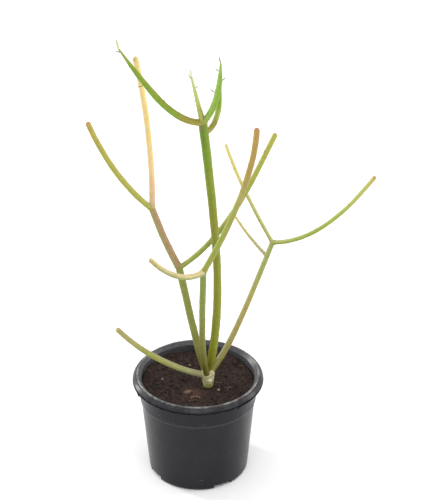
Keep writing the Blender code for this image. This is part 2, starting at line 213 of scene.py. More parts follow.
def black_polypropylene():
    """Satin black plastic with fine turned mould marks, greyed and dusty at its lip, with a
    painted highlight line above its ledge and a pale line on its bead that is partly wear and
    partly painted highlight.
    """
    finish, tree, shader = new_finish("black_polypropylene")
    place = add_node(tree, "TexCoord").outputs["Object"]
    parts = add_node(tree, "SeparateXYZ", Vector=place).outputs
    facing = add_node(tree, "NewGeometry").outputs["Normal"]
    upward = add_node(tree, "SeparateXYZ", Vector=facing).outputs["Z"]
    flat = add_node(tree, "CombineXYZ", X=parts["X"], Y=parts["Y"]).outputs[0]
    reach = add_node(tree, "VectorMath", {"operation": "LENGTH"}, Vector=flat).outputs["Value"]
    round_way = add_node(tree, "VectorMath", {"operation": "NORMALIZE"}, Vector=flat).outputs[0]
    outward = add_node(tree, "VectorMath", {"operation": "DOT_PRODUCT"}, Vector=facing)
    tree.links.new(round_way, outward.inputs[1])
    round_way = add_node(tree, "Mapping", Vector=round_way, Scale=(0.012, 0.012, 0)).outputs[0]
    lift = add_node(tree, "CombineXYZ", Z=sum_up(tree, "ADD", reach, parts["Z"])).outputs[0]
    turned = add_node(tree, "VectorMath", {"operation": "ADD"}, Vector=round_way)
    tree.links.new(lift, turned.inputs[1])
    marks = grain(tree, turned.outputs[0], 700, 5, 0.7)
    patches = grain(tree, place, 70, 4)
    specks = grain(tree, place, 900, 2)
    body = mix_paint(tree, fade(tree, patches, 0.3, 0.7), (0.0008, 0.0007, 0.0034), (0.0024, 0.0021, 0.0064))
    at_lip = fade(tree, parts["Z"], SKIRT_BOTTOM - 0.0005, SKIRT_BOTTOM + 0.0020)
    inside = fade(tree, outward.outputs["Value"], -0.05, -0.40)
    filmed = mix_paint(tree, fade(tree, marks, 0.35, 0.65), (0.050, 0.050, 0.060), (0.090, 0.090, 0.100))
    body = mix_paint(tree, inside, body, filmed)
    from_bead = sum_up(tree, "ABSOLUTE", sum_up(tree, "SUBTRACT", reach, BEAD_RADIUS))
    bead = sum_up(tree, "MULTIPLY", at_lip, fade(tree, from_bead, 0.0011, 0.0005))
    # A pale line just above the ledge: a painted highlight.
    from_ledge = sum_up(tree, "ABSOLUTE", sum_up(tree, "SUBTRACT", parts["Z"], LEDGE_HEIGHT + 0.0010))
    ledge_highlight = sum_up(tree, "MULTIPLY", fade(tree, from_ledge, 0.0007, 0.0003), 0.55)
    body = mix_paint(tree, ledge_highlight, body, (0.055, 0.055, 0.062))
    greyed = sum_up(tree, "MULTIPLY", fade(tree, marks, 0.42, 0.62), 0.22)
    colour = mix_paint(tree, sum_up(tree, "MULTIPLY", at_lip, greyed), body, (0.085, 0.084, 0.088))
    # The pale line on the lip's bead is partly wear and partly a painted highlight.
    worn_and_highlight = sum_up(tree, "MULTIPLY_ADD", fade(tree, marks, 0.42, 0.60), 0.65, 0.20)
    colour = mix_paint(tree, sum_up(tree, "MULTIPLY", bead, worn_and_highlight), colour, (0.30, 0.30, 0.30))
    scuffs = sum_up(tree, "MULTIPLY", fade(tree, marks, 0.60, 0.70), fade(tree, patches, 0.48, 0.60))
    colour = mix_paint(tree, sum_up(tree, "MULTIPLY", scuffs, 0.30), colour, (0.20, 0.20, 0.21))
    dust = sum_up(tree, "MULTIPLY", fade(tree, upward, 0.25, 0.95), fade(tree, patches, 0.30, 0.60))
    dust = sum_up(tree, "MULTIPLY", dust, fade(tree, specks, 0.35, 0.65))
    colour = mix_paint(tree, sum_up(tree, "MULTIPLY", dust, 0.25), colour, (0.20, 0.19, 0.18))
    base_dirt = sum_up(tree, "MULTIPLY", fade(tree, parts["Z"], 0.010, 0.001), fade(tree, specks, 0.52, 0.75))
    colour = mix_paint(tree, sum_up(tree, "MULTIPLY", base_dirt, 0.20), colour, (0.10, 0.08, 0.065))
    roughness = sum_up(tree, "MULTIPLY_ADD", grain(tree, place, 260, 3), 0.12, 0.24)
    roughness = sum_up(tree, "MULTIPLY_ADD", dust, 0.25, roughness)
    height = sum_up(tree, "MULTIPLY_ADD", marks, 0.6, specks)
    wire(tree, shader, colour, roughness, height, 0.00004)
    shader.inputs["Specular IOR Level"].default_value = 0.31
    shader.inputs["Anisotropic"].default_value = 0.80
    shader.inputs["Anisotropic Rotation"].default_value = 0.25
    return finish


pot_inside = [
    (0, POT_FLOOR, 0),
    (BODY_FOOT - WALL, POT_FLOOR, 0.0024),
    (BODY_TOP - WALL, LEDGE_HEIGHT - 0.0004, 0.0008),
    (COLLAR_RADIUS - WALL, LEDGE_HEIGHT + 0.0010, 0.0008),
]
pot_lip = [
    (COLLAR_RADIUS - WALL, RIM_TOP - 0.0034, 0.0010),
    (COLLAR_RADIUS - WALL + 0.0020, RIM_TOP - 0.0014, 0.0012),
    (BEAD_RADIUS - 0.0006, RIM_TOP, 0.0004),
    (BEAD_RADIUS + 0.0004, RIM_TOP - 0.0001, 0.0004),
    (BEAD_RADIUS + 0.0009, RIM_TOP - 0.0010, 0.0004),
    (RIM_RADIUS - 0.0018, RIM_TOP - 0.0014, 0.0009),
    (RIM_RADIUS, RIM_TOP - 0.0034, 0.0012),
    (SKIRT_RADIUS - 0.0002, SKIRT_BOTTOM + 0.0020, 0.0002),
    (SKIRT_RADIUS - 0.0018, SKIRT_BOTTOM + 0.0018, 0.0001),
    (SKIRT_RADIUS - 0.0018, SKIRT_BOTTOM + 0.0006, 0.0001),
    (SKIRT_RADIUS, SKIRT_BOTTOM + 0.0005, 0.0001),
    (SKIRT_RADIUS, SKIRT_BOTTOM, 0.0002),
    (SKIRT_RADIUS - 0.0028, SKIRT_BOTTOM, 0.0002),
    (RIM_RADIUS - 0.0028, RIM_TOP - 0.0040, 0.0010),
    (COLLAR_RADIUS, RIM_TOP - 0.0036, 0.0009),
]
pot_outside = [
    (COLLAR_RADIUS, LEDGE_HEIGHT + 0.0014, 0.0004),
    (COLLAR_RADIUS + 0.0005, LEDGE_HEIGHT + 0.0006, 0.0003),
    (COLLAR_RADIUS + 0.0002, LEDGE_HEIGHT - 0.0002, 0.0003),
    (BODY_TOP, LEDGE_HEIGHT - 0.0012, 0.0006),
    (BODY_FOOT, 0, 0.0032),
    (0, 0, 0),
]
pot = turn_on_axis("black_nursery_pot", filleted(pot_inside + pot_lip + pot_outside), 192)
for heading in CHANNEL_HEADINGS:
    high = CHANNEL_HEIGHT + POT_FLOOR
    cut_or_join(pot, channel_block(POT_FLOOR, POT_FLOOR / 2, high, heading), "UNION")
for heading in CHANNEL_HEADINGS:
    cut_or_join(pot, channel_block(0, -POT_FLOOR, CHANNEL_HEIGHT, heading), "DIFFERENCE")
    turn = radians(heading)
    place = (DRAIN_FROM_AXIS * cos(turn), DRAIN_FROM_AXIS * sin(turn), CHANNEL_HEIGHT)
    bpy.ops.mesh.primitive_cylinder_add(
        vertices=40, radius=DRAIN_RADIUS, depth=0.008, location=place
    )
    cut_or_join(pot, bpy.context.object, "DIFFERENCE")

# The skirt's trimmed edge is ragged, with a curl of flash on its left and on its right front
for vertex in pot.data.vertices:
    point = vertex.co
    reach = sqrt(point.x**2 + point.y**2)
    if reach > COLLAR_RADIUS + 0.003 and point.z < SKIRT_BOTTOM + 0.0009:
        ragged = noise.noise(point * 260) + 0.9 * noise.noise(point * 700)
        for curl_x, curl_y in FLASH_CURLS:
            away = sqrt((point.x - curl_x) ** 2 + (point.y - curl_y) ** 2)
            ragged -= 6.0 * exp(-((away / FLASH_SPREAD) ** 2)) * (0.8 + noise.noise(point * 1500))
        point.z += TRIM_RAGGEDNESS * ragged
pot.data.materials.append(black_polypropylene())
bpy.ops.object.shade_smooth_by_angle(angle=radians(35))
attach(pot, "root")
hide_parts("nursery_pot")


# --- Potting soil -----------------------------------------------------------------------
# Dark, crumbly peat that fills the pot to 10 mm under its lip.  The surface is a mat of fine
# crumbs, with a drier reddish patch in front of the trunk, and loose crumbs lying on it.

SOIL_LEVEL = 0.0905
SOIL_RINGS = 120
TRUNK_X = 0.0092
TRUNK_Y = -0.0050
TRUNK_CLEARANCE = 0.0066
LOOSE_CRUMBS = 460
LOOSE_REACH = 0.0515
PATCH_PLACE = Vector((-0.0045, -0.0185, SOIL_LEVEL))
PEAT_COLOURS = ((0.034, 0.018, 0.013), (0.108, 0.054, 0.035), (0.008, 0.005, 0.004))
LOOSE_COLOURS = ((0.038, 0.022, 0.016), (0.125, 0.072, 0.050), (0.013, 0.009, 0.007))


def soil_height(x, y):
    """Height of the uneven soil surface: low mounds, and a rise to the trunk and the wall."""
    mounds = sin(170 * x + 1.0) * cos(140 * y - 0.4) + 0.6 * sin(260 * y + 120 * x)
    from_trunk = sqrt((x - TRUNK_X) ** 2 + (y - TRUNK_Y) ** 2)
    dish = 0.0030 * (x**2 + y**2) / 0.0525**2
    return SOIL_LEVEL + dish + 0.0007 * mounds + 0.0010 * max(0, 1 - from_trunk / 0.015)


def crumbs(point, size, seed):
    """Rounded lumps about one size across, from 0 in the gaps to 1 on their tops."""
    spot = Vector((point.x, point.y, seed)) / size
    near, second = noise.voronoi(spot)[0][:2]
    return min(1, (second - near) * 1.6) * max(0, 1 - near * 0.6)


def finish_group(name, inputs):
    """A shader group that puts out colour, roughness and height, with what goes into it."""
    group = bpy.data.node_groups.new(name, "ShaderNodeTree")
    outputs = (("Colour", "Color"), ("Roughness", "Float"), ("Height", "Float"))
    for way, sockets in (("INPUT", inputs), ("OUTPUT", outputs)):
        for title, kind in sockets:
            group.interface.new_socket(name=title, in_out=way, socket_type="NodeSocket" + kind)
    given = group.nodes.new("NodeGroupInput").outputs
    result = group.nodes.new("NodeGroupOutput").inputs
    return group, given, result, add_node(group, "TexCoord").outputs["Object"]


def peat_tint():
    """A shader group: the colour and relief of peat, from a base, a dry and a wet colour."""
    inputs = (("Base", "Color"), ("Dry", "Color"), ("Wet", "Color"), ("Dry share", "Float"))
    group, given, result, place = finish_group("peat_tint", inputs)
    coarse = grain(group, place, 330, 4, 0.6)
    fine = grain(group, place, 1500, 4, 0.7)
    lumps = add_node(group, "TexVoronoi", Vector=place, Scale=800.0).outputs["Color"]
    lump = add_node(group, "SeparateColor", Color=lumps).outputs[0]
    colour = mix_paint(group, fade(group, coarse, 0.35, 0.62), given["Wet"], given["Base"])
    dry = sum_up(group, "MULTIPLY", fade(group, fine, 0.50, 0.70), given["Dry share"])
    colour = mix_paint(group, dry, colour, given["Dry"])
    dry_lump = sum_up(group, "MULTIPLY", sum_up(group, "GREATER_THAN", lump, 0.93), given["Dry share"])
    colour = mix_paint(group, dry_lump, colour, given["Dry"])
    group.links.new(colour, result["Colour"])
    roughness = sum_up(group, "MULTIPLY_ADD", coarse, -0.30, 1.0)
    group.links.new(roughness, result["Roughness"])
    height = sum_up(group, "MULTIPLY_ADD", fine, 0.6, coarse)
    group.links.new(height, result["Height"])
    return group


PEAT_TINT = peat_tint()


def peat(name, base, dry, wet, patch_share):
    """Peat, with one patch that is drier and redder than the rest."""
    finish, tree, shader = new_finish(name)
    place = add_node(tree, "TexCoord").outputs["Object"]
    centred = add_node(tree, "Mapping", Vector=place, Location=-PATCH_PLACE).outputs[0]
    wobble = grain(tree, place, 160, 3)
    away = add_node(tree, "VectorMath", {"operation": "LENGTH"}, Vector=centred).outputs["Value"]
    away = sum_up(tree, "MULTIPLY_ADD", wobble, 0.010, away)
    patch = sum_up(tree, "SUBTRACT", 1.0, fade(tree, away, 0.008, 0.019))
    share = sum_up(tree, "MULTIPLY_ADD", patch, patch_share, 0.30)
    tint = tree.nodes.new("ShaderNodeGroup")
    tint.node_tree = PEAT_TINT
    for socket, colour in (("Base", base), ("Dry", dry), ("Wet", wet)):
        tint.inputs[socket].default_value = (*colour, 1)
    tree.links.new(share, tint.inputs["Dry share"])
    colour = mix_paint(tree, sum_up(tree, "MULTIPLY", patch, 0.55), tint.outputs["Colour"], dry)
    wire(tree, shader, colour, tint.outputs["Roughness"], tint.outputs["Height"], 0.0005)
    shader.inputs["Specular IOR Level"].default_value = 0.3
    return finish


soil_edge = COLLAR_RADIUS - WALL - 0.0004
soil_bottom = CHANNEL_HEIGHT + POT_FLOOR + 0.0003
soil_profile = [
    (0, soil_bottom),
    (BODY_FOOT - 0.0016, soil_bottom),
    (BODY_TOP - WALL - 0.0004, LEDGE_HEIGHT - 0.0006),
    (COLLAR_RADIUS - WALL - 0.0004, LEDGE_HEIGHT + 0.0008),
]
for ring in range(SOIL_RINGS, -1, -1):
    soil_profile.append((soil_edge * ring / SOIL_RINGS, SOIL_LEVEL))
soil = turn_on_axis("potting_peat", soil_profile, 360)
for vertex in soil.data.vertices:
    point = vertex.co
    if point.z > SOIL_LEVEL - 0.001:
        relief = 0.0009 * crumbs(point, 0.0030, 1) + 0.0008 * crumbs(point, 0.0015, 2)
        relief += 0.0004 * noise.noise(point * 900) + 0.0007 * noise.noise(point * 150)
        edge_gap = sqrt(point.x**2 + point.y**2) > soil_edge - 0.0012
        point.z = soil_height(point.x, point.y) - 0.0006 + relief - 0.0008 * edge_gap
soil.data.materials.append(peat("dark_peat", *PEAT_COLOURS, 0.75))
bpy.ops.object.shade_smooth()
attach(soil, "root")
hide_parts("potting_soil")


def scatter(name, model, places, finish):
    """One piece made of many turned and sized copies of a small model."""
    points = []
    faces = []
    model_points = [vertex.co.copy() for vertex in model.data.vertices]
    model_faces = [list(face.vertices) for face in model.data.polygons]
    bpy.data.objects.remove(model)
    for centre, turn, size in places:
        first = len(points)
        for point in model_points:
            shaped = Vector([a * b for a, b in zip(point, size)])
            shaped.rotate(turn)
            points.append(centre + shaped)
        faces += [[first + corner for corner in face] for face in model_faces]
    mesh = bpy.data.meshes.new(name)
    mesh.from_pydata(points, [], faces)
    piece = bpy.data.objects.new(name, mesh)
    bpy.context.scene.collection.objects.link(piece)
    mesh.materials.append(finish)
    mesh.shade_smooth()
    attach(piece, "root")
    return piece


def lump_model(roughness, seed, detail=2):
    """A small irregular ball, one unit in radius."""
    bpy.ops.mesh.primitive_ico_sphere_add(subdivisions=detail, radius=1)
    lump = bpy.context.object
    for vertex in lump.data.vertices:
        vertex.co *= 1 + roughness * noise.noise(vertex.co * 1.4 + Vector((seed, 0, 0)))
    return lump


chance = random.Random(7)
loose_places = []
while len(loose_places) < LOOSE_CRUMBS:
    reach = LOOSE_REACH * sqrt(chance.random())
    turn = 2 * pi * chance.random()
    x = reach * cos(turn)
    y = reach * sin(turn)
    if (x - TRUNK_X) ** 2 + (y - TRUNK_Y) ** 2 < TRUNK_CLEARANCE**2:
        continue
    radius = 0.0003 + 0.0008 * chance.random() ** 3
    size = [radius * (0.7 + 0.6 * chance.random()) for axis in range(3)]
    spin = Vector((chance.random(), chance.random(), chance.random())).to_track_quat("X", "Z")
    loose_places.append((Vector((x, y, soil_height(x, y) + 0.0004 + 0.2 * radius)), spin, size))
loose_peat = peat("loose_peat", *LOOSE_COLOURS, 0.4)
scatter("loose_crumbs", lump_model(0.7, 3), loose_places, loose_peat)


# --- Bits lying on the soil -------------------------------------------------------------
# A chip of composted bark, a curved root fibre, fine coir fibres and three grains of pale
# grit, all loose on the surface.

FIBRE_CENTRE = (-0.0020, -0.0290)
FIBRE_REACH = 0.0042
COIR_STRANDS = 16
COIR_REACH = 0.046
COIR_STEP = 0.0007
COIR_THICKNESS = 0.00013
CHIP_PLACE = (-0.0090, -0.0195)
CHIP_HALF_SIZES = (0.0042, 0.0027, 0.0013)


def dry_fibre():
    """Dry tan plant fibre, streaked and darker in places."""
    finish, tree, shader = new_finish("dry_fibre")
    place = add_node(tree, "TexCoord").outputs["Object"]
    streaks = grain(tree, place, 900, 4, 0.7)
    colour = mix_paint(tree, fade(tree, streaks, 0.35, 0.65), (0.11, 0.062, 0.036), (0.34, 0.20, 0.12))
    roughness = sum_up(tree, "MULTIPLY_ADD", streaks, 0.2, 0.70)
    wire(tree, shader, colour, roughness, streaks, 0.0002)
    return finish


def pale_grit():
    """Pale sandstone grit with darker grains."""
    finish, tree, shader = new_finish("pale_grit")
    place = add_node(tree, "TexCoord").outputs["Object"]
    grains = grain(tree, place, 2200, 3, 0.7)
    colour = mix_paint(tree, fade(tree, grains, 0.3, 0.7), (0.14, 0.10, 0.07), (0.48, 0.40, 0.28))
    roughness = sum_up(tree, "MULTIPLY_ADD", grains, 0.2, 0.75)
    wire(tree, shader, colour, roughness, grains, 0.0002)
    return finish


def tube_along(name, line, sides):
    """A closed tube through (point, radius) pairs, made from a curve with a round bevel."""
    curve = bpy.data.curves.new(name, "CURVE")
    curve.dimensions = "3D"
    curve.bevel_depth = 1
    curve.bevel_resolution = sides // 2 - 2
    curve.use_fill_caps = True
    spline = curve.splines.new("POLY")
    spline.points.add(len(line) - 1)
    for knot, (point, radius) in zip(spline.points, line):
        knot.co = (*point, 1)
        knot.radius = radius
    piece = bpy.data.objects.new(name, curve)
    bpy.context.scene.collection.objects.link(piece)
    bpy.ops.object.select_all(action="DESELECT")
    piece.select_set(True)
    bpy.context.view_layer.objects.active = piece
    bpy.ops.object.convert(target="MESH")
    bpy.ops.object.mode_set(mode="EDIT")
    bpy.ops.mesh.select_all(action="SELECT")
    bpy.ops.mesh.remove_doubles(threshold=1e-7)
    bpy.ops.mesh.normals_make_consistent(inside=False)
    bpy.ops.object.mode_set(mode="OBJECT")
    bpy.ops.object.shade_smooth()
    return piece


fibre_finish = dry_fibre()
fibre_line = []
for step in range(25):
    turn = radians(150) * (step / 24 - 0.5) + pi / 2
    x = FIBRE_CENTRE[0] + FIBRE_REACH * cos(turn)
    y = FIBRE_CENTRE[1] + FIBRE_REACH * sin(turn)
    wander = 0.0004 * sin(step * 1.3)
    thickness = 0.00042 + 0.00016 * sin(step * 0.9) * sin(pi * step / 24)
    fibre_line.append((Vector((x, y + wander, soil_height(x, y) + 0.0012)), thickness))
root_fibre = tube_along("curved_root_fibre", fibre_line, 10)
root_fibre.data.materials.append(fibre_finish)
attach(root_fibre, "root")
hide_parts("soil_root_fibre")

for index in range(COIR_STRANDS):
    reach = COIR_REACH * sqrt(chance.random())
    turn = 2 * pi * chance.random()
    x = reach * cos(turn)
    y = reach * sin(turn)
    heading = 2 * pi * chance.random()
    curl = chance.uniform(-260, 260)
    strand = []
    for step in range(12):
        heading += curl * COIR_STEP
        x += COIR_STEP * cos(heading)
        y += COIR_STEP * sin(heading)
        strand.append((Vector((x, y, soil_height(x, y) + 0.0009)), COIR_THICKNESS))
    coir = tube_along(f"coir_strand_{index + 1}", strand, 6)
    coir.data.materials.append(fibre_finish)
    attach(coir, "root")

chip = lump_model(0.45, 11, 4)
chip.name = "composted_bark_chip"
for vertex in chip.data.vertices:
    point = vertex.co
    layers = 0.10 * sin(26 * point.z + 3 * point.x)
    point.x = max(-0.9, min(0.9, point.x)) * (1 + layers)
    point.y = max(-0.85, min(0.85, point.y)) * (1 + layers)
    point.z = max(-0.8, min(0.8, point.z + 0.2 * noise.noise(point * 4)))
chip.scale = CHIP_HALF_SIZES
chip.location = (*CHIP_PLACE, soil_height(*CHIP_PLACE) + 0.0016)
chip.rotation_euler.z = radians(35)
bpy.ops.object.transform_apply(location=True, rotation=True, scale=True)
bpy.ops.object.shade_smooth()
chip_colours = ((0.105, 0.066, 0.048), (0.20, 0.125, 0.09), (0.05, 0.03, 0.022))
chip.data.materials.append(peat("bark_chip", *chip_colours, 0.5))
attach(chip, "root")
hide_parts("soil_bark_chip")

grit_finish = pale_grit()
GRITS = {
    "soil_grit_left": (-0.0330, 0.0010, (0.0009, 0.0008, 0.0010)),
    "soil_grit_back": (-0.0080, 0.0260, (0.0010, 0.0007, 0.0007)),
    "soil_grit_front": (0.0190, -0.0150, (0.0013, 0.0009, 0.0008)),
}
for index, (node, (x, y, half_sizes)) in enumerate(GRITS.items()):
    grit = lump_model(0.5, 20 + index, 3)
    grit.name = node.replace("soil_grit", "grit_grain")
    grit.scale = half_sizes
    grit.location = (x, y, soil_height(x, y) + 0.0010)
    bpy.ops.object.transform_apply(location=True, rotation=True, scale=True)
    bpy.ops.object.shade_smooth()
    grit.data.materials.append(grit_finish)
    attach(grit, "root")
    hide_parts(node)


# --- Trunk ------------------------------------------------------------------------------
# The corky grey-green stump that all stems spring from.  An old stem was cut from its front,
# which left an oblique, shrunken tan scar over a glossy knob.

TRUNK_FOOT = Vector((0.0104, -0.0050, 0.0460))
TRUNK_TOP = Vector((0.0092, -0.0050, 0.1040))
TRUNK_RADII = (0.0040, 0.0042, 0.0042, 0.0043, 0.0064)
SCAR_CENTRE = Vector((0.0092, -0.0112, 0.1050))
SCAR_FACING = Vector((0, -sin(radians(38)), cos(radians(38))))
KNOB_CENTRE = Vector((0.0106, -0.0092, 0.0992))
KNOB_RADIUS = 0.0028


def point_on(points, share):
    """The point at a share of the way along a line of equal steps."""
    place = min(max(share, 0), 1) * (len(points) - 1)
    step = min(int(place), len(points) - 2)
    return points[step].lerp(points[step + 1], place - step)


def radius_at(radii, share):
    """Radius at a share of the way along, between evenly spaced values."""
    place = min(max(share, 0), 1) * (len(radii) - 1)
    step = min(int(place), len(radii) - 2)
    return radii[step] + (radii[step + 1] - radii[step]) * (place - step)


def rounded_ends(points, radii, forked, spacing):
    """(point, radius, length along) of a tube with domed ends, at an even spacing.  A tip
    that forks is domed about the fork, and a free tip ends in its dome."""
    length = sum((b - a).length for a, b in zip(points, points[1:]))
    tip_direction = (points[-1] - points[-2]).normalized()
    end = length + (radii[-1] if forked else 0)
    turns = [radians(angle) for angle in (4, 12, 20, 30, 40, 50, 60, 70, 80)]
    stations = [radii[0] * (1 - cos(turn)) for turn in turns]
    count = max(8, round((end - radii[0] - radii[-1]) / spacing))
    step = (end - radii[0] - radii[-1]) / count
    stations += [radii[0] + step * index for index in range(count + 1)]
    stations += [end - radii[-1] * (1 - cos(turn)) for turn in turns[::-1]]
    line = []
    for station in stations:
        radius = radius_at(radii, min(station / length, 1))
        from_base = min(1, station / radii[0])
        from_tip = min(1, (end - station) / radii[-1])
        rounding = sqrt(1 - (1 - from_base) ** 2) * sqrt(1 - (1 - from_tip) ** 2)
        point = point_on(points, station / length) + tip_direction * max(0, station - length)
        line.append((point, radius * rounding, station))
    return line


def store_mask(piece, name, values):
    """Keeps one value from 0 to 1 for each point of a mesh, for its finish to read."""
    mask = piece.data.attributes.new(name, "FLOAT", "POINT")
    for item, value in zip(mask.data, values):
        item.value = value


def corky_bark():
    """Grey-green cork with upright fissures, tan where it was cut and yellower at the soil, and a
    pale knob whose colour is partly its own and partly a painted highlight.
    """
    finish, tree, shader = new_finish("corky_bark")
    place = add_node(tree, "TexCoord").outputs["Object"]
    height_above = add_node(tree, "SeparateXYZ", Vector=place).outputs["Z"]
    stretched = add_node(tree, "Mapping", Vector=place, Scale=(1, 1, 0.28)).outputs[0]
    fissures = grain(tree, stretched, 1100, 5, 0.65)
    clouds = grain(tree, place, 330, 3)
    specks = grain(tree, place, 2600, 2)
    scar = add_node(tree, "Attribute", {"attribute_name": "scar"}).outputs["Fac"]
    knob = add_node(tree, "Attribute", {"attribute_name": "knob"}).outputs["Fac"]
    colour = mix_paint(tree, fade(tree, clouds, 0.35, 0.65), (0.43, 0.43, 0.165), (0.62, 0.61, 0.350))
    low = fade(tree, height_above, 0.0965, 0.0925)
    colour = mix_paint(tree, sum_up(tree, "MULTIPLY", low, 0.75), colour, (0.36, 0.35, 0.050))
    cracks = sum_up(tree, "SUBTRACT", 1.0, fade(tree, fissures, 0.36, 0.50))
    colour = mix_paint(tree, sum_up(tree, "MULTIPLY", cracks, 0.4), colour, (0.11, 0.095, 0.045))
    pale = sum_up(tree, "MULTIPLY", fade(tree, fissures, 0.58, 0.70), 0.55)
    colour = mix_paint(tree, pale, colour, (0.52, 0.50, 0.36))
    tan = mix_paint(tree, fade(tree, clouds, 0.4, 0.6), (0.40, 0.26, 0.16), (0.56, 0.44, 0.29))
    tan = mix_paint(tree, fade(tree, fissures, 0.55, 0.42), (0.56, 0.44, 0.29), tan)
    colour = mix_paint(tree, scar, colour, tan)
    # The knob's pale colour is partly its own and partly a painted glossy highlight.
    olive = mix_paint(tree, fade(tree, specks, 0.4, 0.6), (0.56, 0.58, 0.27), (0.76, 0.78, 0.50))
    colour = mix_paint(tree, knob, colour, olive)
    roughness = sum_up(tree, "MULTIPLY_ADD", fissures, 0.25, 0.50)
    roughness = sum_up(tree, "MULTIPLY_ADD", knob, -0.42, roughness)
    height = sum_up(tree, "MULTIPLY_ADD", specks, 0.2, fissures)
    wire(tree, shader, colour, roughness, height, 0.0005)
    return finish


trunk_line = rounded_ends([TRUNK_FOOT, TRUNK_FOOT.lerp(TRUNK_TOP, 0.5), TRUNK_TOP], TRUNK_RADII, True, 0.0004)
trunk = tube_along("corky_trunk", [station[:2] for station in trunk_line], 72)
scar_mask = []
knob_mask = []
for vertex in trunk.data.vertices:
    point = vertex.co
    axis = TRUNK_FOOT.lerp(TRUNK_TOP, (point.z - TRUNK_FOOT.z) / (TRUNK_TOP.z - TRUNK_FOOT.z))
    outward = Vector((point.x - axis.x, point.y - axis.y, 0))
    upright = Vector((point.x, point.y, point.z * 0.25))
    ridges = noise.noise(upright * 420) + 0.6 * noise.noise(upright * 900)
    point += outward.normalized() * 0.00035 * ridges
    knob = 0.0
    from_knob = (point - KNOB_CENTRE).length
    if point.y < KNOB_CENTRE.y + 0.0010 and from_knob < KNOB_RADIUS * 1.5:
        if from_knob < KNOB_RADIUS:
            point += (point - KNOB_CENTRE).normalized() * (KNOB_RADIUS - from_knob)
            knob = 1.0
        else:
            ring = sin(pi * (from_knob / KNOB_RADIUS - 1) / 0.5)
            point += outward.normalized() * 0.0005 * ring
            knob = 0.3 * (1 - (from_knob / KNOB_RADIUS - 1) / 0.5)
    above = (point - SCAR_CENTRE).dot(SCAR_FACING)
    if above > 0:
        shrunk = noise.noise(point * 800) * 0.00045 + noise.noise(point * 300) * 0.0005
        point += SCAR_FACING * (min(0, shrunk - 0.0003) - above)
    elif above > -0.0010:
        point += outward.normalized() * 0.00035 * (1 + above / 0.0010)
    scar_mask.append(min(1.0, max(0.0, (above + 0.0004) / 0.0006)))
    knob_mask.append(knob)
store_mask(trunk, "scar", scar_mask)
store_mask(trunk, "knob", knob_mask)
trunk.data.materials.append(corky_bark())
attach(trunk, "root")
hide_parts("trunk")


# --- Leader stem ------------------------------------------------------------------------
# The tallest stem: a smooth, fleshy green cylinder, thicker at its foot and at the crown fork.
# Every stem is grown in the same way, and its skin colour changes along it and round it.

DARK_OLIVE = (0.130, 0.120, 0.008)
OLIVE = (0.215, 0.230, 0.012)
MOSS = (0.240, 0.260, 0.050)
DEEP_GREEN = (0.140, 0.255, 0.010)
LEAF_GREEN = (0.200, 0.350, 0.018)
FRESH_GREEN = (0.220, 0.400, 0.030)
YELLOW_GREEN = (0.340, 0.390, 0.045)
LIME = (0.500, 0.570, 0.150)
PALE_LIME = (0.560, 0.630, 0.260)
CREAM = (0.890, 0.690, 0.270)
PEACH = (0.800, 0.530, 0.330)
TAN = (0.410, 0.320, 0.060)
OLIVE_BROWN = (0.320, 0.290, 0.045)
MAUVE = (0.420, 0.265, 0.140)
ROSE = (0.520, 0.230, 0.150)
WAX_SHADE = (0.90, 0.89, 0.88)


def direction(lean, heading):
    """A unit vector that leans so far from upright, towards a heading."""
    lean = radians(lean)
    heading = radians(heading)
    return Vector((sin(lean) * cos(heading), sin(lean) * sin(heading), cos(lean)))


def growth_line(start, lean, heading, bend, length):
    """Points along a stem, whose direction turns from its first to its last."""
    first = direction(lean[0], heading[0])
    last = direction(lean[1], heading[1])
    points = [start]
    for step in range(24):
        turned = 1 - (1 - (step + 0.5) / 24) ** bend
        points.append(points[-1] + first.slerp(last, turned) * length / 24)
    return points


def smooth_line(points):
    """The same line in three times as many equal steps, with its corners eased."""
    count = (len(points) - 1) * 3
    return [
        (point_on(points, (step - 1) / count) + point_on(points, step / count) * 2
         + point_on(points, (step + 1) / count)) / 4 if 0 < step < count else point_on(points, step / count)
        for step in range(count + 1)
    ]


